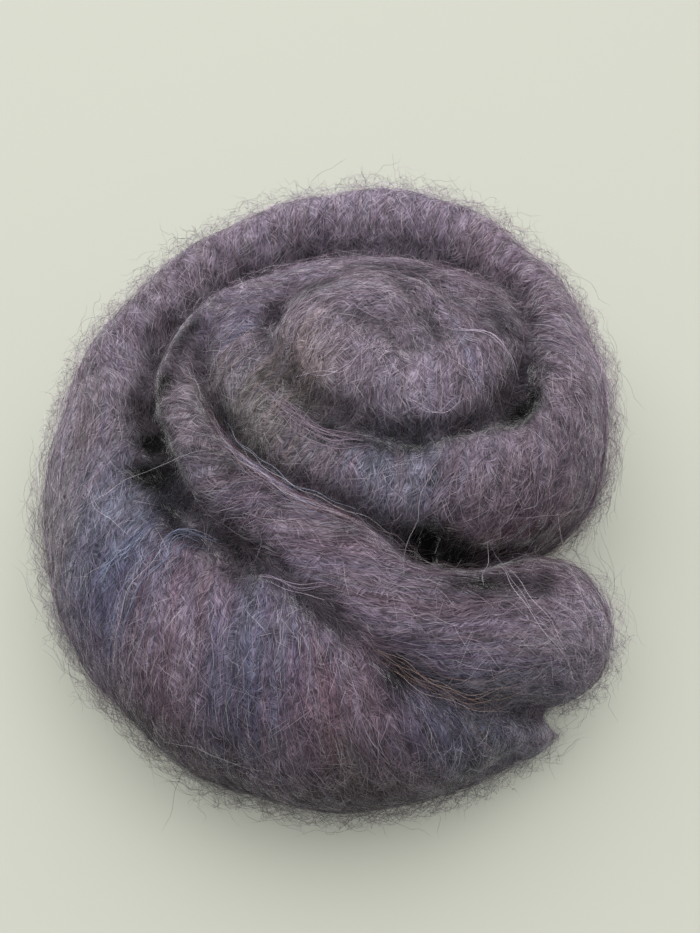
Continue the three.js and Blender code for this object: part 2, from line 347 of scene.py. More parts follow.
shadeSettings = {
    "strayDye": 0.03,      # share of the fibre that has each dye wherever it lies
    "toneSpread": 0.18,    # how much lighter or darker a streak is
    "darkest": 0.97,       # the most light that one crease or pocket takes
    "pocketDark": 1.45,    # how strongly the pockets' loss of light is laid on
    "cleftDark": 0.55,     # the share of light that the parting takes
    "lowFront": (20.0, 70.0),   # mm of height under which the front has all its painted shade, and over which it has none
    "lowDark": 0.4,             # the share of light that the low front loses
    "paintedBackLight": 0.14,           # painted light: how much lighter the colour is made at the back, and darker at the front, than in the middle
    "paintedRimLight": 0.8,             # painted light: how much lighter the rim's colour is made, standing in for light through its thin fibre
    "rimFacing": (-0.5, 0.0),   # the normal's Y from which, and over which, the rim gets that painted light
}
coverSettings = {
    "under": (-0.75, 0.15),     # a normal that looks down this far, and the share of hair there
    "creaseLess": 0.6,     # the share of hair that a crease goes without
    "pocketLight": 0.5,    # the light under which a pocket goes without hair too
    "fuzz": (0.25, 2.0),   # share of loose fuzz over all the nest, and what the rim adds
    "tangle": (0.5, 1.45),      # how far hairs turn off the fibre where it is combed and where not
    "combedLess": 0.8,     # what a combed place takes off that
}


def remeshedBody(node):
    # The solid's form at a finer grain, with its facets rounded off
    mesh = node.data.copy()
    shell = bmesh.new()
    shell.from_mesh(mesh)
    bmesh.ops.remove_doubles(shell, verts=shell.verts, dist=bodySettings["weld"] * mm)
    shell.to_mesh(mesh)
    shell.free()
    rough = linked("rough_body", mesh)
    remesh = rough.modifiers.new("grain", "REMESH")
    remesh.mode = "VOXEL"
    remesh.voxel_size = bodySettings["voxel"] * mm
    remesh.use_smooth_shade = True
    soften = rough.modifiers.new("rounding", "SMOOTH")
    soften.factor = 0.5
    soften.iterations = bodySettings["rounding"]
    evaluated = rough.evaluated_get(bpy.context.evaluated_depsgraph_get())
    result = bpy.data.meshes.new_from_object(evaluated)
    bpy.data.objects.remove(rough)
    result.name = "batt_body"
    return result


def linked(name, data):
    # A new object for a mesh, a lamp or a camera, in the scene and at the origin
    thing = bpy.data.objects.new(name, data)
    bpy.context.scene.collection.objects.link(thing)
    return thing


def readRows(collection, field, width=1, kind=np.float32):
    # A field of a mesh's points, edges, faces or corners, as an array
    rows = np.empty(len(collection) * width, kind)
    collection.foreach_get(field, rows)
    return rows.reshape(-1, width) if width > 1 else rows


def movePoints(mesh, points):
    # Puts a mesh's points at their places in metres, and shades it smooth
    mesh.vertices.foreach_set("co", points.astype(np.float32).ravel())
    mesh.polygons.foreach_set("use_smooth", np.ones(len(mesh.polygons), bool))
    mesh.update()


class Skin:
    # The body's points in millimetres, with what is worked out on them
    def __init__(self, mesh):
        self.count = len(mesh.vertices)
        self.points = readRows(mesh.vertices, "co", 3).astype(float) / mm
        self.normals = readRows(mesh.vertex_normals, "vector", 3).astype(float)
        self.edges = readRows(mesh.edges, "vertices", 2, np.int32)
        self.degree = np.bincount(self.edges.ravel(), minlength=self.count)[:, None]

    def around(self, values):
        # The mean of each point's neighbours
        total = np.zeros_like(values)
        for k in range(values.shape[1]):
            for one, other in ((0, 1), (1, 0)):
                total[:, k] += np.bincount(self.edges[:, one], values[self.edges[:, other], k], self.count)
        return total / self.degree

    def findFlow(self, points, normals, flows):
        # The fibre's direction at each point, from the near sample that faces the same way
        tree = KDTree(len(points))
        for i, point in enumerate(points):
            tree.insert(point, i)
        tree.balance()
        chosen = np.empty(self.count, int)
        for v in range(self.count):
            best = -math.inf
            for _, i, distance in tree.find_n(self.points[v], flowSettings["choices"]):
                score = self.normals[v] @ normals[i] - distance / flowSettings["farness"]
                if score > best:
                    best = score
                    chosen[v] = i
        self.flow = self.tangent(flows[chosen])
        for _ in range(flowSettings["evenPasses"]):
            total = self.flow.copy()
            for one, other in ((0, 1), (1, 0)):
                here, there = self.edges[:, one], self.edges[:, other]
                same = np.sign(np.sum(self.flow[here] * self.flow[there], axis=1))
                same[same == 0] = 1
                for k in range(3):
                    total[:, k] += np.bincount(here, self.flow[there, k] * same, self.count)
            self.flow = self.tangent(total)

    def tangent(self, vectors):
        return unit(vectors - self.normals * np.sum(vectors * self.normals, axis=1)[:, None])

    def findComb(self):
        # For each point, the points one step on and one step back along the fibre
        tree = KDTree(self.count)
        for i, point in enumerate(self.points):
            tree.insert(point, i)
        tree.balance()
        step = self.flow * bodySettings["combStep"]
        self.comb = [
            np.array([tree.find(point)[1] for point in self.points + sign * step]) for sign in (1, -1)
        ]

    def softened(self, values, passes):
        for _ in range(passes):
            values = self.around(values)
        return values

    def creases(self, scales):
        # How much light is left in each crease, how it is sunk, and how deep it lies
        strength = np.ones(self.count)
        for place, reach, change in creaseSpots:
            strength += change * self.nearness(place, reach)
        light, sink, deepest = np.ones(self.count), np.zeros_like(self.points), np.zeros(self.count)
        smooth, done = self.points, 0
        for passes, depth, dark, sunk in scales:
            smooth = self.softened(smooth, passes - done)
            done = passes
            away = smooth - self.points
            crease = np.clip(np.sum(away * self.normals, axis=1) / depth, 0, 1)
            crease = self.softened(crease[:, None], bodySettings["creasePasses"])[:, 0] * strength
            light *= 1 - np.clip(dark * crease, 0, shadeSettings["darkest"])
            sink -= unit(away) * (sunk * crease)[:, None]
            deepest = np.maximum(deepest, np.clip(crease, 0, 1))
        return light, sink, deepest

    def pocketed(self):
        # How deep each point is drawn into a pocket in mm, and the light that is left there
        drawn, light = np.zeros(self.count), np.ones(self.count)
        for place, reach, depth, dark in pockets:
            near = self.nearness(place, reach)
            drawn += depth * near
            lost = shadeSettings["pocketDark"] * dark * near
            light *= 1 - np.clip(lost, 0, shadeSettings["darkest"])
        return drawn, light

    def lowFront(self):
        # How far each point looks to the front and lies low, from 0 to 1
        rise = between(self.points[:, 2], *shadeSettings["lowFront"])
        return np.clip(-self.normals[:, 1], 0, 1) * (1 - rise)

    def seated(self):
        # How much each point is pressed to the table, from 0 to 1
        low, high = bodySettings["seat"]
        near = between(-self.points[:, 2], -high, -low)
        return near**2 * (3 - 2 * near) * between(-self.normals[:, 2], *bodySettings["seatFacing"])

    def rim(self):
        # How much each point belongs to the nest's outer flank, from 0 to 1
        reach = np.abs(self.points[:, :2]).max(axis=0)
        outward = np.clip(np.sum(self.normals[:, :2] * unit(self.points[:, :2]), axis=1), 0, 1)
        wayOut = np.linalg.norm(self.points[:, :2] / reach, axis=1)
        return outward * between(wayOut, *bodySettings["rimStart"])

    def cleft(self):
        # How near each point is to the parting on the swirl, from 0 to 1
        start, end, halfWidth, _ = bodySettings["cleft"]
        start, end = np.array(start), np.array(end)
        along = (self.points[:, :2] - start) @ (end - start) / np.sum((end - start) ** 2)
        nearest = start + np.clip(along, 0, 1)[:, None] * (end - start)
        away = np.linalg.norm(self.points[:, :2] - nearest, axis=1)
        upper = np.clip(self.normals[:, 2], 0, 1) * (self.points[:, 2] > bodySettings["cleftAbove"])
        return np.exp(-(away / halfWidth) ** 2) * upper

    def nearness(self, place, reach):
        # 1 at the place, and falling off softly round it
        return np.exp(-np.sum((self.points - np.array(place)) ** 2, axis=1) / reach**2)

    def combed(self, values, passes):
        # Draws values out along the fibre
        for _ in range(passes):
            values = (values + values[self.comb[0]] + values[self.comb[1]]) / 3
        return values


def evened(values, spread=2.2):
    # Spread over -1 to 1 about the middle; values past so many deviations are cut off
    values = values - values.mean()
    return np.clip(values / (spread * values.std()), -1, 1)


def softNoise(points, size, seed, period=32, shift=1000.5):
    # Smooth value noise over space; it repeats after the period, and the shift keeps cells positive
    draw = np.random.default_rng(seed)
    grid = draw.uniform(-1, 1, (period, period, period))
    place = points / size + shift
    cell = np.floor(place).astype(int)
    t = place - cell
    t = t * t * (3 - 2 * t)
    total = np.zeros(len(points))
    for corner in range(8):
        bits = np.array([corner & 1, corner >> 1 & 1, corner >> 2 & 1])
        weight = np.prod(np.where(bits == 1, t, 1 - t), axis=1)
        i, j, k = ((cell + bits) % period).T
        total += weight * grid[i, j, k]
    return total


def dyeAndPaintedShade(skin, draw):
    # The colour of the fibre at each point, in streaks drawn out along the fibre, with the painted shade of
    # the low front's dark patches
    shade = np.tile(paint(palette["mauve"]), (skin.count, 1))
    for place, reach, dye, amount in dyePatches:
        taken = draw.uniform(0, 1, skin.count) < amount * skin.nearness(place, reach)
        shade[taken] = paint(palette[dye])
    stray = draw.uniform(0, 1, skin.count)
    share = shadeSettings["strayDye"]
    for k, dye in enumerate(palette.values()):
        taken = (stray > k * share) & (stray < k * share + share)
        shade[taken] = paint(dye)
    shade = skin.combed(shade, bodySettings["dyePasses"])
    streaks = evened(skin.combed(draw.normal(0, 1, skin.count), bodySettings["dyePasses"]))
    return shade * (1 + shadeSettings["toneSpread"] * streaks)[:, None]


def lightLeft(skin, creaseLight, pocketLight, cleft, rim):
    # The light that is left at each point, as a factor on the fibre's colour
    settings = shadeSettings
    light = creaseLight * (1 - settings["cleftDark"] * cleft)
    light = light * (pocketLight * (1 - settings["lowDark"] * skin.lowFront()))
    # Painted light: the back is made lighter and the front darker
    light = light * (1 + settings["paintedBackLight"] * skin.points[:, 1] / skin.points[:, 1].max())
    # Painted light: the thin rim is made lighter where it faces sideways or back
    return light * (1 + settings["paintedRimLight"] * rim**2 * between(skin.normals[:, 1], *settings["rimFacing"]))


def shapedPoints(skin, locks, sink, drawn, cleft, rim):
    # The body's points: under the solid's face, soft and lumpy, with creases, pockets and a flat seat
    settings = bodySettings
    lumps = softNoise(skin.points, settings["lumpSize"], settings["seed"])
    lift = settings["locks"] * locks / 2 + settings["lumps"] * lumps / 2 - settings["sunk"]
    lift = lift - settings["cleft"][3] * cleft - drawn - settings["rimSunk"] * rim
    place, reach, share, passes = settings["felted"]
    blend = share * skin.nearness(place, reach)[:, None]
    felted = skin.softened(skin.points, passes) - skin.points
    points = skin.points + felted * blend + skin.normals * lift[:, None] + sink
    points[:, 2] = np.maximum(points[:, 2], 0) * (1 - skin.seated())
    return points


def hairCover(skin, crease, pocketLight, rim):
    # How much hair, how much fuzz and how much tangle there is at each point
    settings = coverSettings
    steep, share = settings["under"]
    hairy = np.where(skin.normals[:, 2] < steep, share, 1.0) * (1 - skin.seated())
    hairy = hairy * (1 - settings["creaseLess"] * crease)
    hairy = hairy * between(pocketLight, 0.0, settings["pocketLight"])
    everywhere, atRim = settings["fuzz"]
    least, most = settings["tangle"]
    tangle = np.full(skin.count, most)
    for place, reach in combedSpots:
        tangle -= settings["combedLess"] * skin.nearness(place, reach)
    tangle = np.clip(tangle, least, most)
    return {"hairy": hairy, "fuzzy": hairy * (everywhere + atRim * rim), "tangle": tangle}


def addAttribute(mesh, name, kind, values, field="value"):
    attribute = mesh.attributes.new(name, kind, "POINT")
    attribute.data.foreach_set(field, np.ascontiguousarray(values, np.float32).ravel())


def makeBody():
    settings = bodySettings
    mesh = remeshedBody(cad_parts[nestNode])
    skin = Skin(mesh)
    print("body points", skin.count)
    strands = [strandFlow(outerStrand), strandFlow(innerStrand)]
    skin.findFlow(*[np.vstack(parts) for parts in zip(*strands)])
    skin.findComb()
    print("fibre direction found")
    draw = np.random.default_rng(settings["seed"])
    creaseLight, sink, crease = skin.creases(settings["creases"])
    drawn, pocketLight = skin.pocketed()
    cleft, rim = skin.cleft(), skin.rim()
    locks = evened(skin.combed(draw.normal(0, 1, skin.count), settings["lockPasses"]))
    shade = dyeAndPaintedShade(skin, draw)
    points = shapedPoints(skin, locks, sink, drawn, cleft, rim)
    movePoints(mesh, points * mm)
    colour = np.hstack([np.clip(shade, 0, 1), np.ones((skin.count, 1))])
    addAttribute(mesh, "shade", "FLOAT_COLOR", colour, "color")
    addAttribute(mesh, "light", "FLOAT", lightLeft(skin, creaseLight, pocketLight, cleft, rim))
    addAttribute(mesh, "flow", "FLOAT_VECTOR", skin.flow, "vector")
    addAttribute(mesh, "across", "FLOAT_VECTOR", np.cross(skin.normals, skin.flow), "vector")
    for name, values in hairCover(skin, crease, pocketLight, rim).items():
        addAttribute(mesh, name, "FLOAT", values)
    print("body made")
    return linked("batt_body", mesh)


def fill(tree, node, inputs):
    # Links a node's inputs to other nodes' outputs, or sets them to plain values
    for name, value in inputs.items():
        if isinstance(value, bpy.types.NodeSocket):
            tree.links.new(value, node.inputs[name])
        else:
            node.inputs[name].default_value = value
    return node


def put(tree, kind, inputs=None, **settings):
    # Adds a node, sets it up and fills its inputs
    node = tree.nodes.new(kind)
    for name, value in settings.items():
        setattr(node, name, value)
    return fill(tree, node, inputs or {})


def newGroup(name, sort, inputs, output, outputKind):
    # A node group with named sockets; gives the group and what its inputs hold
    group = bpy.data.node_groups.new(name, sort)
    for socket, kind in inputs.items():
        group.interface.new_socket(socket, in_out="INPUT", socket_type=f"NodeSocket{kind}")
    group.interface.new_socket(output, in_out="OUTPUT", socket_type=f"NodeSocket{outputKind}")
    return group, group.nodes.new("NodeGroupInput").outputs


def maths(tree, operation, *values):
    return put(tree, "ShaderNodeMath", dict(enumerate(values)), operation=operation).outputs[0]


def vectorMaths(tree, operation, *values, out="Vector"):
    inputs = dict(enumerate(values))
    if operation == "SCALE":
        inputs = {0: values[0], "Scale": values[1]}
    return put(tree, "ShaderNodeVectorMath", inputs, operation=operation).outputs[out]


def attributeOf(tree, name, kind="FLOAT"):
    return put(tree, "GeometryNodeInputNamedAttribute", {"Name": name}, data_type=kind).outputs["Attribute"]


def store(tree, geometry, name, kind, value):
    inputs = {"Geometry": geometry, "Name": name, "Value": value}
    node = put(tree, "GeometryNodeStoreNamedAttribute", inputs, data_type=kind, domain="POINT")
    return node.outputs["Geometry"]


hairInputs = {
    "Geometry": "Geometry",  # the body that hair grows on
    "Hair": "Object",
    "Material": "Material",
    "Density": "Float",      # hairs on a square metre
    "Where": "String",       # the attribute that thins them out
    "Seed": "Int",
    "Shortest": "Float",
    "Longest": "Float",
    "Radius": "Float",
    "Lowest": "Float",       # how high the middle of a hair stands over the body
    "Highest": "Float",
    "Tip Rise": "Float",     # how much of that height its far end keeps
    "Stray": "Float",        # how far a hair turns off the fibre's direction, in radians
    "Stiffness": "Float",    # how much of its own direction it keeps at each step
    "Cling": "Float",        # 1 hugs the body, 0 bridges its creases
    "Wave": "Float",         # how far it wavers
    "Waves": "Float",        # how often it wavers along its length
}
swaySettings = {
    "rowGap": 571.0,    # how far apart two hairs read the noise, so that each wavers in its own way
    "upward": 0.5,      # the share of its wavering that lifts a hair; none lowers it
}


def chance(tree, given, offset, low, high):
    # A random value for each hair; each use has its own offset to the seed
    seed = maths(tree, "ADD", given["Seed"], offset)
    node = put(tree, "FunctionNodeRandomValue", {2: low, 3: high, 8: seed}, data_type="FLOAT")
    return node.outputs[1]


def firstHeading(tree, given, normal):
    # Two random turns together, so that most hairs follow the fibre and a few cross it
    flow = attributeOf(tree, "flow", "FLOAT_VECTOR")
    across = vectorMaths(tree, "CROSS_PRODUCT", normal, flow)
    less = maths(tree, "ABSOLUTE", chance(tree, given, 12, -1.0, 1.0))
    turn = maths(tree, "MULTIPLY", chance(tree, given, 11, -1.0, 1.0), less)
    stray = maths(tree, "MULTIPLY", given["Stray"], attributeOf(tree, "tangle"))
    turn = maths(tree, "MULTIPLY", turn, stray)
    onFlow = vectorMaths(tree, "SCALE", flow, maths(tree, "COSINE", turn))
    offFlow = vectorMaths(tree, "SCALE", across, maths(tree, "SINE", turn))
    flip = maths(tree, "SIGN", chance(tree, given, 13, -1.0, 1.0))
    return vectorMaths(tree, "SCALE", vectorMaths(tree, "ADD", onFlow, offFlow), flip)


def sownHairs(tree, given):
    # Template hairs on the body, all drawn in to their roots, with what each one needs to walk
    density = maths(tree, "MULTIPLY", given["Density"], attributeOf(tree, given["Where"]))
    sown = {"Mesh": given["Geometry"], "Density": density, "Seed": given["Seed"]}
    scatter = put(tree, "GeometryNodeDistributePointsOnFaces", sown, distribute_method="RANDOM").outputs
    points = scatter["Points"]
    position = put(tree, "GeometryNodeInputPosition").outputs[0]
    heading = firstHeading(tree, given, scatter["Normal"])
    points = store(tree, points, "heading", "FLOAT_VECTOR", heading)
    points = store(tree, points, "root", "FLOAT_VECTOR", position)
    length = chance(tree, given, 14, given["Shortest"], given["Longest"])
    points = store(tree, points, "length", "FLOAT", length)
    points = store(tree, points, "luck", "FLOAT", chance(tree, given, 15, 0.0, 1.0))
    points = store(tree, points, "tone", "FLOAT", chance(tree, given, 16, 0.0, 1.0))
    template = put(tree, "GeometryNodeObjectInfo", {"Object": given["Hair"]}, transform_space="ORIGINAL")
    planted = {"Points": points, "Instance": template.outputs["Geometry"]}
    hairs = put(tree, "GeometryNodeInstanceOnPoints", planted).outputs["Instances"]
    hairs = put(tree, "GeometryNodeRealizeInstances", {"Geometry": hairs}).outputs[0]
    root = attributeOf(tree, "root", "FLOAT_VECTOR")
    hairs = store(tree, hairs, "profile", "FLOAT_VECTOR", vectorMaths(tree, "SUBTRACT", position, root))
    return put(tree, "GeometryNodeSetPosition", {"Geometry": hairs, "Position": root}).outputs[0]


def profileParts(tree):
    # A point's place in the template hair
    return put(tree, "ShaderNodeSeparateXYZ", {0: attributeOf(tree, "profile", "FLOAT_VECTOR")}).outputs


def nearest(tree, given, value, kind="FLOAT_VECTOR"):
    # What the body holds where it is nearest to a point of a hair
    position = put(tree, "GeometryNodeInputPosition").outputs[0]
    inputs = {"Mesh": given["Geometry"], "Value": value, "Sample Position": position}
    return put(tree, "GeometryNodeSampleNearestSurface", inputs, data_type=kind).outputs["Value"]


def upwardFrom(tree, given):
    # The way out of the body under a point of a hair
    return nearest(tree, given, put(tree, "GeometryNodeInputNormal").outputs[0])


def hairLift(tree, given, along):
    # How high each point of a hair stands over the body: an arch, or a rise to its far end
    heights = {"Value": attributeOf(tree, "luck"), 3: given["Lowest"], 4: given["Highest"]}
    height = put(tree, "ShaderNodeMapRange", heights).outputs[0]
    arch = maths(tree, "SINE", maths(tree, "MULTIPLY", along, math.pi))
    tail = maths(tree, "MULTIPLY", maths(tree, "MULTIPLY", along, along), given["Tip Rise"])
    return maths(tree, "MULTIPLY", height, maths(tree, "MAXIMUM", arch, tail))


def nextHeading(tree, given, heading):
    # The way that a hair keeps, mixed with the fibre's direction under it
    here = nearest(tree, given, attributeOf(tree, "flow", "FLOAT_VECTOR"))
    same = maths(tree, "SIGN", vectorMaths(tree, "DOT_PRODUCT", here, heading, out="Value"))
    ways = {0: given["Stiffness"], 4: vectorMaths(tree, "SCALE", here, same), 5: heading}
    mixed = put(tree, "ShaderNodeMix", ways, data_type="VECTOR").outputs[1]
    return vectorMaths(tree, "NORMALIZE", mixed)


def walkedHairs(tree, given, hairs, steps):
    # Each turn of the loop takes every point one stride on, and back to its height over the body
    walkIn = put(tree, "GeometryNodeRepeatInput")
    walkOut = put(tree, "GeometryNodeRepeatOutput")
    walkIn.pair_with_output(walkOut)
    if not walkOut.repeat_items:
        walkOut.repeat_items.new("GEOMETRY", "Geometry")
    fill(tree, walkIn, {"Iterations": steps, "Geometry": hairs})
    walking = walkIn.outputs["Geometry"]
    along = profileParts(tree)["Z"]
    heading = attributeOf(tree, "heading", "FLOAT_VECTOR")
    walking = store(tree, walking, "heading", "FLOAT_VECTOR", nextHeading(tree, given, heading))
    stride = maths(tree, "DIVIDE", maths(tree, "MULTIPLY", along, attributeOf(tree, "length")), steps)
    onward = vectorMaths(tree, "SCALE", heading, stride)
    walking = put(tree, "GeometryNodeSetPosition", {"Geometry": walking, "Offset": onward}).outputs[0]
    position = put(tree, "GeometryNodeInputPosition").outputs[0]
    upward = upwardFrom(tree, given)
    gap = vectorMaths(tree, "SUBTRACT", position, nearest(tree, given, position))
    above = vectorMaths(tree, "DOT_PRODUCT", gap, upward, out="Value")
    lift = hairLift(tree, given, along)
    heights = {0: given["Cling"], 2: above, 3: lift}
    settled = put(tree, "ShaderNodeMix", heights, data_type="FLOAT").outputs[0]
    wanted = maths(tree, "MAXIMUM", settled, lift)
    rise = vectorMaths(tree, "SCALE", upward, maths(tree, "SUBTRACT", wanted, above))
    walking = put(tree, "GeometryNodeSetPosition", {"Geometry": walking, "Offset": rise}).outputs[0]
    tree.links.new(walking, walkOut.inputs["Geometry"])
    return walkOut.outputs["Geometry"]


def wavingHairs(tree, given, hairs):
    # Lets each hair waver, and opens it to its thickness
    parts = profileParts(tree)
    heading = attributeOf(tree, "heading", "FLOAT_VECTOR")
    across = vectorMaths(tree, "CROSS_PRODUCT", upwardFrom(tree, given), heading)
    beside = vectorMaths(tree, "NORMALIZE", across)
    over = vectorMaths(tree, "CROSS_PRODUCT", heading, beside)
    waves = maths(tree, "MULTIPLY", parts["Z"], given["Waves"])
    ownRow = maths(tree, "MULTIPLY", attributeOf(tree, "luck"), swaySettings["rowGap"])
    spot = put(tree, "ShaderNodeCombineXYZ", {"X": waves, "Y": ownRow}).outputs[0]
    waver = put(tree, "ShaderNodeTexNoise", {"Vector": spot, "Scale": 1.0, "Detail": 1.0}).outputs["Color"]
    middle = vectorMaths(tree, "SUBTRACT", waver, (0.5, 0.5, 0.5))
    swayed = vectorMaths(tree, "SCALE", middle, maths(tree, "MULTIPLY", given["Wave"], 2.0))
    sway = put(tree, "ShaderNodeSeparateXYZ", {0: swayed}).outputs
    lifted = maths(tree, "MULTIPLY", maths(tree, "ABSOLUTE", sway["Y"]), swaySettings["upward"])
    besideBy = maths(tree, "MULTIPLY_ADD", parts["X"], given["Radius"], sway["X"])
    overBy = maths(tree, "MULTIPLY_ADD", parts["Y"], given["Radius"], lifted)
    besideStep = vectorMaths(tree, "SCALE", beside, besideBy)
    offset = vectorMaths(tree, "ADD", besideStep, vectorMaths(tree, "SCALE", over, overBy))
    return put(tree, "GeometryNodeSetPosition", {"Geometry": hairs, "Offset": offset}).outputs[0]


def hairTree(steps):
    # Lays hairs over a body: each point of a template hair walks along the stored fibre direction
    tree, given = newGroup(f"hair_layer_{steps}", "GeometryNodeTree", hairInputs, "Geometry", "Geometry")
    hairs = walkedHairs(tree, given, sownHairs(tree, given), steps)
    # A hair over a crease lies in its shade
    shade = nearest(tree, given, attributeOf(tree, "light"), "FLOAT")
    hairs = wavingHairs(tree, given, store(tree, hairs, "light", "FLOAT", shade))
    for name in ("profile", "root", "heading", "length", "flow", "hairy", "fuzzy", "tangle"):
        hairs = put(tree, "GeometryNodeRemoveAttribute", {"Geometry": hairs, "Name": name}).outputs[0]
    real = put(tree, "GeometryNodeRealizeInstances", {"Geometry": hairs}).outputs[0]
    finished = {"Geometry": real, "Material": given["Material"]}
    put(tree, "NodeGroupOutput", {0: put(tree, "GeometryNodeSetMaterial", finished).outputs[0]})
    return tree


def hairTemplate(name, rings, tipSize=0.55):
    # A three-sided hair with a point at each end; z runs from 0 to 1 along it
    points = [(0, 0, 0)]
    for k in range(1, rings - 1):
        along = k / (rings - 1)
        size = tipSize + (1 - tipSize) * math.sin(math.pi * along)
        for side in range(3):
            angle = 2 * math.pi * side / 3
            points.append((size * math.cos(angle), size * math.sin(angle), along))
    points.append((0, 0, 1))
    last = len(points) - 1
    faces = []
    for side in range(3):
        after = (side + 1) % 3
        faces.append((0, 1 + after, 1 + side))
        faces.append((last, last - 3 + side, last - 3 + after))
        for k in range(rings - 3):
            low = 1 + 3 * k
            faces.append((low + side, low + after, low + 3 + after))
            faces.append((low + side, low + 3 + after, low + 3 + side))
    mesh = bpy.data.meshes.new(name)
    mesh.from_pydata(points, [], faces)
    return linked(name, mesh)


hairLayers = {
    "under_hair": {
        "rings": 4, "count": 14400, "steps": 6, "Where": "hairy", "pale": 0.1, "bright": 0.68,
        "Shortest": 7, "Longest": 17, "Radius": 0.08, "Lowest": -0.15, "Highest": 0.35, "Tip Rise": 0.0,
        "Stray": 1.4, "Stiffness": 0.8, "Cling": 0.95, "Wave": 0.7, "Waves": 1.6,
    },
    "middle_hair": {
        "rings": 4, "count": 15800, "steps": 6, "Where": "hairy", "pale": 0.4, "bright": 0.88,
        "Shortest": 6, "Longest": 14, "Radius": 0.06, "Lowest": 0.1, "Highest": 1.0, "Tip Rise": 0.2,
        "Stray": 2.2, "Stiffness": 0.85, "Cling": 0.8, "Wave": 0.8, "Waves": 1.8,
    },
    "top_hair": {
        "rings": 5, "count": 10500, "steps": 6, "Where": "hairy", "pale": 0.9, "bright": 1.0,
        "Shortest": 6, "Longest": 15, "Radius": 0.043, "Lowest": 0.3, "Highest": 2.6, "Tip Rise": 0.8,
        "Stray": 3.1, "Stiffness": 0.92, "Cling": 0.4, "Wave": 1.2, "Waves": 2.0,
    },
    "loose_fuzz": {
        "rings": 5, "count": 10700, "steps": 6, "Where": "fuzzy", "pale": 0.3, "bright": 0.68,
        "Shortest": 5, "Longest": 13, "Radius": 0.042, "Lowest": 0.3, "Highest": 5.6, "Tip Rise": 1.0,
        "Stray": 3.1, "Stiffness": 0.95, "Cling": 0.0, "Wave": 1.8, "Waves": 2.4,
    },
    "curled_fuzz": {
        "rings": 9, "count": 1300, "steps": 8, "Where": "fuzzy", "pale": 0.2, "bright": 0.6,
        "Shortest": 14, "Longest": 28, "Radius": 0.042, "Lowest": 1.5, "Highest": 6.5, "Tip Rise": 1.0,
        "Stray": 3.1, "Stiffness": 0.95, "Cling": 0.0, "Wave": 3.0, "Waves": 4.2,
    },
    "long_strays": {
        "rings": 16, "count": 120, "steps": 12, "Where": "hairy", "pale": 0.9, "bright": 1.1,
        "Shortest": 25, "Longest": 60, "Radius": 0.048, "Lowest": 0.8, "Highest": 3.0, "Tip Rise": 0.8,
        "Stray": 3.0, "Stiffness": 0.95, "Cling": 0.1, "Wave": 3.5, "Waves": 2.4,
    },
}
lengthInputs = ("Shortest", "Longest", "Radius", "Lowest", "Highest", "Wave")  # given in mm
hairSeed = 40  # the first layer's; each further layer has the next one


def weightedArea(mesh, name):
    # The body's area in square metres, each face weighed by an attribute at its first corner
    weights = readRows(mesh.attributes[name].data, "value")
    starts = readRows(mesh.polygons, "loop_start", kind=np.int32)
    corners = readRows(mesh.loops, "vertex_index", kind=np.int32)
    return float(np.sum(readRows(mesh.polygons, "area") * weights[corners[starts]]))


def growLayer(body, name, settings, seed, material, trees):
    # One layer of hair as a plain mesh of its own
    steps = settings["steps"]
    if steps not in trees:
        trees[steps] = hairTree(steps)
    tree = trees[steps]
    template = hairTemplate(f"{name}_template", settings["rings"])
    carrier = linked(f"{name}_carrier", body.data)
    grow = carrier.modifiers.new("hair", "NODES")
    grow.node_group = tree
    density = settings["count"] / weightedArea(body.data, settings["Where"])
    values = {"Hair": template, "Material": material, "Density": density, "Seed": seed}
    for key in hairInputs:
        if key in settings:
            values[key] = settings[key] * mm if key in lengthInputs else settings[key]
    for item in tree.interface.items_tree:
        if item.item_type == "SOCKET" and item.in_out == "INPUT" and item.name in values:
            grow[item.identifier] = values[item.name]
    evaluated = carrier.evaluated_get(bpy.context.evaluated_depsgraph_get())
    mesh = bpy.data.meshes.new_from_object(evaluated)
    mesh.name = name
    for helper in (carrier, template):
        bpy.data.objects.remove(helper)
    keptNear(mesh, settings["rings"])
    print(name, len(mesh.vertices), "points", len(mesh.polygons), "faces")
    return linked(name, mesh)


roomSettings = {
    "past": 7.2,           # mm that hair may stand out past the solid's box
    "share": (0.4, 1),     # the least and most of it that one hair gets
    "overTable": 0.1,      # mm
}
bakeCell = {"edge": 0.2, "side": 0.3, "ring": 0.6}  # where a hair lies in its cell of the bake map


def bakeMap(mesh, hair, side, ring, rings):
    # A map with a cell for each hair, from each point's hair, side, ring and number of rings
    perSide = math.ceil(math.sqrt(hair.max() + 1))
    u = (hair % perSide + bakeCell["edge"] + bakeCell["side"] * side) / perSide
    v = (hair // perSide + bakeCell["edge"] + bakeCell["ring"] * ring / rings) / perSide
    corners = readRows(mesh.loops, "vertex_index", kind=np.int32)
    layer = mesh.uv_layers.new(name="OFBake")
    layer.uv.foreach_set("vector", np.stack([u, v], axis=1)[corners].astype(np.float32).ravel())


def keptNear(mesh, rings):
    # Keeps hairs over the table and near the solid's box, and maps them
    count = len(mesh.vertices)
    perHair = 2 + 3 * (rings - 2)
    hair, place = np.divmod(np.arange(count), perHair)
    points = readRows(mesh.vertices, "co", 3).astype(float)
    low, high = np.array(cadBox[0]), np.array(cadBox[1])
    past = np.maximum(points - high, 0) - np.maximum(low - points, 0)
    most = np.abs(past).reshape(-1, perHair, 3).max(axis=1)
    draw = np.random.default_rng(rings)
    room = roomSettings["past"] * mm * draw.uniform(*roomSettings["share"], most.shape)
    points -= past * np.maximum(0, 1 - room / np.maximum(most, 1e-9))[hair]
    points[:, 2] = np.maximum(points[:, 2], roomSettings["overTable"] * mm)
    movePoints(mesh, points)
    ring, side = np.divmod(place + 2, 3)
    bakeMap(mesh, hair, side, ring, rings)


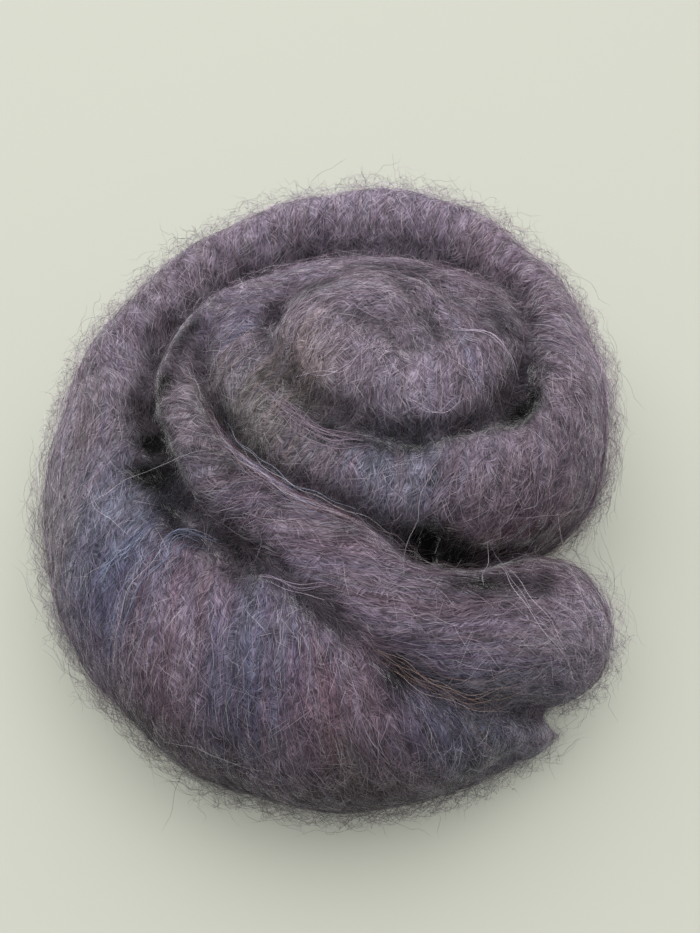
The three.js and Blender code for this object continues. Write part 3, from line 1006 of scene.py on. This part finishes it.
# Single hairs and thin bundles that lie on the nest: how many hairs, how far they spread in mm,
# their dye, how pale they are, and the points of their way, seen from above in mm
looseStrands = [
    (30, 1.8, "maroon", 1.0, [(-38, 14), (-34, 5), (-27, -7), (-17, -17), (-6, -24), (6, -29), (19, -35)]),
    (16, 2.2, "mist", 0.8, [(-36, 8), (-29, -5), (-18, -16), (-6, -24), (8, -30)]),
    (22, 1.8, "mauve", 0.7, [(-20, 13), (-13, 5), (-5, -2), (3, -6), (16, -8)]),
    (18, 2.4, "mauve", 0.8, [(1, 74), (19, 76), (36, 70), (50, 56)]),
    (9, 1.8, "tan", 0.9, [(14, -70), (30, -79), (46, -82), (62, -77)]),
    (9, 1.5, "mist", 0.7, [(-46, -52), (-47, -43), (-43, -35), (-33, -36)]),
    (7, 1.2, "mist", 0.9, [(-71, -52), (-58, -41), (-51, -31)]),
    (5, 2.5, "mist", 0.9, [(-62, -72), (-58, -58), (-49, -44), (-41, -38)]),
    (2, 0.4, "lilac", 1.0, [(-76, -17), (-67, -29), (-57, -38)]),
    (2, 0.5, "lilac", 1.0, [(-9, 16), (5, 13), (14, 22)]),
    (2, 0.5, "lilac", 1.0, [(26, 3), (31, 1), (36, 1), (43, 5)]),
    (5, 0.8, "lilac", 1.0, [(37, 34), (50, 28), (58, 22), (62, 16)]),
    (1, 0.2, "lilac", 1.0, [(50, -28), (49, -42), (46, -58)]),
    (3, 1.0, "lilac", 1.0, [(52, -33), (56, -44), (62, -57), (70, -67), (80, -74)]),
    (4, 0.8, "lilac", 1.0, [(-21, -47), (-7, -51), (7, -54)]),
]
strandSettings = {
    "step": 2.0,         # mm between two rings
    "radius": 0.05,      # mm in the middle, and half of it at the ends
    "wave": 0.5,         # mm
    "waveRates": (2.3, 4.1),    # mm over which the two waves turn by a radian
    "lift": (0.4, 1.8),  # mm over the body
    "above": 200.0,      # mm, the height from which the body is looked for
    "bare": 1.0,         # mm, the height where there is no body
    "tautPasses": 3,     # how often a hair is drawn straight over a hollow
    "spare": 0.25,       # share of its way that a hair may leave out at each end
    "tone": (0.3, 1.0),
    "luck": 0.5,         # no change of hue
    "seed": 90,
}


def looseStrand(way, surface, spread, draw):
    # One hair's points and its frame at each, in mm, laid over the body
    settings = strandSettings
    count = len(way)
    first = int(draw.uniform(0, settings["spare"]) * count)
    last = count - int(draw.uniform(0, settings["spare"]) * count)
    points = way[first:last].copy()
    ahead = unit(np.gradient(points, axis=0))
    side = np.stack([-ahead[:, 1], ahead[:, 0], np.zeros(len(points))], axis=1)
    along = np.arange(len(points)) * settings["step"]
    wave = sum(np.sin(along / rate + draw.uniform(0, 2 * math.pi)) for rate in settings["waveRates"])
    points += side * (draw.normal(0, spread) + wave * settings["wave"])[:, None]
    for point in points:
        above = Vector((point[0], point[1], settings["above"])) * mm
        hit = surface.ray_cast(above, Vector((0, 0, -1)))[0]
        point[2] = hit.z / mm if hit else settings["bare"]
    for _ in range(settings["tautPasses"]):
        points[1:-1, 2] = np.maximum(points[1:-1, 2], (points[:-2, 2] + points[2:, 2]) / 2)
    points[:, 2] += draw.uniform(*settings["lift"])
    ahead = unit(np.gradient(points, axis=0))
    side = unit(np.cross(ahead, [0, 0, 1]))
    return points, side, np.cross(side, ahead)


def strandMesh(points, side, over, first):
    # The corners of a three-sided hair along some points, and its faces, counted on from the first
    rings = len(points)
    thick = strandSettings["radius"] * (0.5 + 0.5 * np.sin(np.linspace(0, math.pi, rings)))[:, None]
    corners = [
        points + thick * (side * math.cos(angle) + over * math.sin(angle))
        for angle in (0, 2 * math.pi / 3, 4 * math.pi / 3)
    ]
    faces = []
    for low in range(first, first + 3 * (rings - 1), 3):
        for a, b in ((0, 1), (1, 2), (2, 0)):
            faces.append((low + b, low + a, low + 3 + a, low + 3 + b))
    last = first + 3 * (rings - 1)
    faces.append((first, first + 1, first + 2))
    faces.append((last + 2, last + 1, last))
    return np.stack(corners, axis=1).reshape(-1, 3), faces


def layStrands(body, material):
    settings = strandSettings
    draw = np.random.default_rng(settings["seed"])
    surface = BVHTree.FromObject(body, bpy.context.evaluated_depsgraph_get())
    points, faces, values = [], [], []
    hair, total = 0, 0
    for count, spread, dye, pale, places in looseStrands:
        way = smoothRows([(x, y, 0.0) for x, y in places], settings["step"])
        for _ in range(count):
            corners, sides = strandMesh(*looseStrand(way, surface, spread, draw), total)
            tone = draw.uniform(*settings["tone"]) * pale
            points.append(corners)
            faces += sides
            # The bake map's numbers, the tone and the dye of each point
            ring, side = np.divmod(np.arange(len(corners)), 3)
            same = np.tile([hair, len(corners) // 3, tone, *paint(palette[dye]), 1.0], (len(corners), 1))
            values.append(np.column_stack([ring, side, same]))
            hair += 1
            total += len(corners)
    mesh = bpy.data.meshes.new("stray_strands")
    mesh.from_pydata(np.vstack(points) * mm, [], faces)
    mesh.materials.append(material)
    values = np.vstack(values)
    ring, side, ofHair, rings, tone = values[:, :5].T
    addAttribute(mesh, "shade", "FLOAT_COLOR", values[:, 5:], "color")
    addAttribute(mesh, "tone", "FLOAT", tone)
    addAttribute(mesh, "luck", "FLOAT", np.full(total, settings["luck"]))
    addAttribute(mesh, "light", "FLOAT", np.ones(total))
    bakeMap(mesh, ofHair, side, ring, rings)
    print("stray_strands", hair, "hairs", len(faces), "faces")
    return linked("stray_strands", mesh)


toneSettings = {
    "value": (1.6, 0.18),    # what the tone adds to a hair's brightness, and the least brightness
    "hue": (0.16, 0.42),     # what the luck adds to the hue, and where it starts; 0.5 keeps the dye's own
    "vivid": (0.6, 1.0),     # what the luck adds to the strength of the dye, and its least
    "paleRare": 3.5,         # the higher, the rarer are undyed pale hairs
    "undyed": "d8d2d8",
}


def hairToneGroup():
    # From a fibre's shade and a hair's own luck and tone: dark, plain or pale, and a little off in hue
    settings = toneSettings
    inputs = {"Shade": "Color"}
    for socket in ("Tone", "Luck", "Light", "Pale", "Bright"):
        inputs[socket] = "Float"
    group, given = newGroup("hair_tone", "ShaderNodeTree", inputs, "Color", "Color")
    value = maths(group, "MULTIPLY_ADD", given["Tone"], *settings["value"])
    changes = {
        "Hue": maths(group, "MULTIPLY_ADD", given["Luck"], *settings["hue"]),
        "Saturation": maths(group, "MULTIPLY_ADD", given["Luck"], *settings["vivid"]),
        "Value": maths(group, "MULTIPLY", value, given["Bright"]),
        "Color": given["Shade"],
    }
    toned = put(group, "ShaderNodeHueSaturation", changes).outputs[0]
    rare = maths(group, "POWER", given["Tone"], settings["paleRare"])
    share = maths(group, "MULTIPLY", rare, given["Pale"])
    undyed = (*paint(settings["undyed"]), 1.0)
    mixed = put(group, "ShaderNodeMix", {0: share, 6: toned, 7: undyed}, data_type="RGBA").outputs[2]
    # The body's painted light and shade where the hair lies, laid on its colour
    put(group, "NodeGroupOutput", {0: vectorMaths(group, "SCALE", mixed, given["Light"])})
    return group


strokeSettings = {
    "crimps": 1250.0,        # radians that a crimp turns in a metre
    "crimpWide": 0.22,       # mm
    "drawn": 0.07,           # a stroke's width over its length
    "rowGap": 40.0,          # how far apart two cells read the noise
    "edge": (0.46, 0.66),    # the noise from which a stroke begins, and over which it is full
    "fade": (0.3, 0.8),      # the way out in a cell over which its strokes fade
    "layers": (              # shift, cells and strokes in a metre, and the span of their turns in radians
        ((0.0, 0.0, 0.0), 150.0, 2900.0, 1.3),
        ((0.31, 0.17, 0.05), 175.0, 2500.0, 2.2),
        ((0.12, 0.43, 0.27), 130.0, 3300.0, 2.8),
        ((0.53, 0.29, 0.11), 190.0, 2700.0, 3.14),
    ),
}


def strokeGroup():
    # Short crimped strokes that lie side by side along the fibre, cell by cell
    settings = strokeSettings
    inputs = {"Place": "Vector", "Shift": "Vector", "Flow": "Vector", "Across": "Vector"}
    for socket in ("Cells", "Fineness", "Turn"):
        inputs[socket] = "Float"
    group, given = newGroup("combed_strokes", "ShaderNodeTree", inputs, "Strokes", "Float")

    def times(one, other):
        return maths(group, "MULTIPLY", one, other)

    shifted = vectorMaths(group, "ADD", given["Place"], given["Shift"])
    cell = put(group, "ShaderNodeTexVoronoi", {"Vector": shifted, "Scale": given["Cells"]}).outputs
    inside = vectorMaths(group, "SUBTRACT", shifted, cell["Position"])
    chance = put(group, "ShaderNodeSeparateColor", {0: cell["Color"]}).outputs
    turn = times(maths(group, "SUBTRACT", chance[0], 0.5), given["Turn"])
    cosine, sine = maths(group, "COSINE", turn), maths(group, "SINE", turn)
    ahead = vectorMaths(group, "DOT_PRODUCT", inside, given["Flow"], out="Value")
    aside = vectorMaths(group, "DOT_PRODUCT", inside, given["Across"], out="Value")
    along = maths(group, "MULTIPLY_ADD", ahead, cosine, times(aside, sine))
    side = maths(group, "SUBTRACT", times(aside, cosine), times(ahead, sine))
    phase = maths(group, "MULTIPLY_ADD", along, settings["crimps"], times(chance[1], 2 * math.pi))
    side = maths(group, "MULTIPLY_ADD", maths(group, "SINE", phase), settings["crimpWide"] * mm, side)
    spot = {
        "X": times(side, given["Fineness"]),
        "Y": times(times(along, given["Fineness"]), settings["drawn"]),
        "Z": times(chance[2], settings["rowGap"]),
    }
    spot = put(group, "ShaderNodeCombineXYZ", spot).outputs[0]
    lines = put(group, "ShaderNodeTexNoise", {"Vector": spot, "Scale": 1.0, "Detail": 1.0}).outputs["Fac"]
    start, full = settings["edge"]
    sharp = put(group, "ShaderNodeMapRange", {"Value": lines, 1: start, 2: full}).outputs[0]
    start, full = settings["fade"]
    faded = {"Value": cell["Distance"], 1: start, 2: full, 3: 1.0, 4: 0.0}
    fade = put(group, "ShaderNodeMapRange", faded).outputs[0]
    put(group, "NodeGroupOutput", {0: times(sharp, fade)})
    return group


def newMaterial(name):
    material = bpy.data.materials.new(name)
    material.use_nodes = True
    tree = material.node_tree
    tree.nodes.clear()
    shader = put(tree, "ShaderNodeBsdfPrincipled")
    put(tree, "ShaderNodeOutputMaterial", {0: shader.outputs[0]})
    return material, tree, shader


def stored(tree, name, out="Fac"):
    # What the mesh holds under a name, for a shader
    return put(tree, "ShaderNodeAttribute", attribute_name=name).outputs[out]


hairFinish = {"Roughness": 0.6, "Specular IOR Level": 0.25, "Sheen Weight": 0.14, "Sheen Roughness": 0.3}
bodyFinish = {"Specular IOR Level": 0.1, "Sheen Weight": 0.9, "Sheen Roughness": 0.25}
bodyStrokes = {
    "shade": (0.17, 1.35),    # the colour factor between strokes, dark as painted shade in the gaps between fibres, and on them
    "rough": (1.0, 0.75),     # the roughness there
    "relief": 0.25,           # mm
    "reliefStrength": 0.7,
}


def hairMaterial(name, toneGroup, settings):
    material, tree, shader = newMaterial(name)
    inputs = {socket: stored(tree, socket.lower()) for socket in ("Tone", "Luck", "Light")}
    inputs["Shade"] = stored(tree, "shade", "Color")
    inputs["Pale"] = settings["pale"]
    inputs["Bright"] = settings["bright"]
    toned = put(tree, "ShaderNodeGroup", inputs, node_tree=toneGroup)
    fill(tree, shader, {"Base Color": toned.outputs["Color"], **hairFinish})
    return material


def bodyMaterial():
    material, tree, shader = newMaterial("packed_fibre")
    flow, across = stored(tree, "flow", "Vector"), stored(tree, "across", "Vector")
    place = put(tree, "ShaderNodeTexCoord").outputs["Object"]
    group = strokeGroup()
    strokes = 0.0
    for shift, cells, fineness, turn in strokeSettings["layers"]:
        inputs = {
            "Place": place, "Flow": flow, "Across": across,
            "Shift": shift, "Cells": cells, "Fineness": fineness, "Turn": turn,
        }
        layer = put(tree, "ShaderNodeGroup", inputs, node_tree=group)
        strokes = maths(tree, "MAXIMUM", strokes, layer.outputs["Strokes"])

    def byStroke(name):
        offStroke, onStroke = bodyStrokes[name]
        return put(tree, "ShaderNodeMapRange", {"Value": strokes, 3: offStroke, 4: onStroke}).outputs[0]

    # The fibre's strokes, with painted shade in the gaps between them, times the body's painted light and
    # shade
    strokesAndPaintedShade = maths(tree, "MULTIPLY", byStroke("shade"), stored(tree, "light"))
    relief = {
        "Height": strokes,
        "Strength": bodyStrokes["reliefStrength"],
        "Distance": bodyStrokes["relief"] * mm,
    }
    fill(tree, shader, {
        "Base Color": vectorMaths(tree, "SCALE", stored(tree, "shade", "Color"), strokesAndPaintedShade),
        "Roughness": byStroke("rough"),
        "Normal": put(tree, "ShaderNodeBump", relief).outputs[0],
        **bodyFinish,
    })
    return material


studioSettings = {
    "tableHalf": 6.0,          # metres
    "table": "a0a198",
    "tableRough": 0.9,
    "glow": 0.38,              # light of the table's own, which keeps it as pale as the photo's
    "world": "eef0e8",
    "worldStrength": 0.6,
    "aim": (0, 0, 0.03),       # where the lamps look, in metres
    "lamps": (                 # name, place in metres, width in metres and power in watts
        ("window", (-0.15, 0.4, 1.3), 2.0, 25.0),
        ("ceiling", (0.1, -0.1, 1.6), 2.0, 10.0),
    ),
}


def makeTable():
    settings = studioSettings
    mesh = bpy.data.meshes.new("table")
    half = settings["tableHalf"]
    corners = [(-half, -half, 0), (half, -half, 0), (half, half, 0), (-half, half, 0)]
    mesh.from_pydata(corners, [], [(0, 1, 2, 3)])
    material, tree, shader = newMaterial("pale_table")
    pale = (*paint(settings["table"]), 1)
    fill(tree, shader, {
        "Base Color": pale,
        "Roughness": settings["tableRough"],
        "Emission Color": pale,
        "Emission Strength": settings["glow"],
    })
    mesh.materials.append(material)
    linked("table", mesh)


def makeLight():
    # A soft room, and light that falls from behind the nest
    settings = studioSettings
    world = bpy.data.worlds.new("soft_room")
    world.use_nodes = True
    tree = world.node_tree
    sky = {"Color": (*paint(settings["world"]), 1), "Strength": settings["worldStrength"]}
    fill(tree, tree.nodes["Background"], sky)
    bpy.context.scene.world = world
    for name, place, size, power in settings["lamps"]:
        lamp = bpy.data.lights.new(name, "AREA")
        lamp.size = size
        lamp.energy = power
        thing = linked(name, lamp)
        thing.location = place
        way = Vector(settings["aim"]) - Vector(place)
        thing.rotation_euler = way.to_track_quat("-Z", "Y").to_euler()


cameraSettings = {
    "elevation": 60,           # degrees over the table
    "distance": 400,           # mm
    "aim": (8.4, 0.8, 38),     # mm, among the strand rows
    "focalPixels": 1200,       # focal length in pixels of the photo
    "imageHeight": 933,        # pixels
    "sensor": 36,              # mm
}


def makeCamera():
    settings = cameraSettings
    data = bpy.data.cameras.new("camera")
    data.sensor_width = settings["sensor"]
    data.lens = settings["sensor"] * settings["focalPixels"] / settings["imageHeight"]
    camera = linked("camera", data)
    aim = Vector(np.array(settings["aim"]) - nestMiddle) * mm
    tilt = math.radians(settings["elevation"])
    back = Vector((0, -math.cos(tilt), math.sin(tilt)))
    camera.location = aim + back * settings["distance"] * mm
    camera.rotation_euler = (math.pi / 2 - tilt, 0, 0)
    bpy.context.scene.camera = camera


makeCamera()
makeTable()
makeLight()
bpy.context.scene.view_settings.view_transform = "Standard"
print("camera, table and light set")
body = makeBody()
body.data.materials.clear()
body.data.materials.append(bodyMaterial())
toneGroup = hairToneGroup()
trees = {}
pieces = [body]
for number, (name, settings) in enumerate(hairLayers.items()):
    material = hairMaterial(f"{name}_fibre", toneGroup, settings)
    pieces.append(growLayer(body, name, settings, hairSeed + number, material, trees))
pieces.append(layStrands(body, material))

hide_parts(nestNode)
for piece in pieces:
    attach(piece, "root")
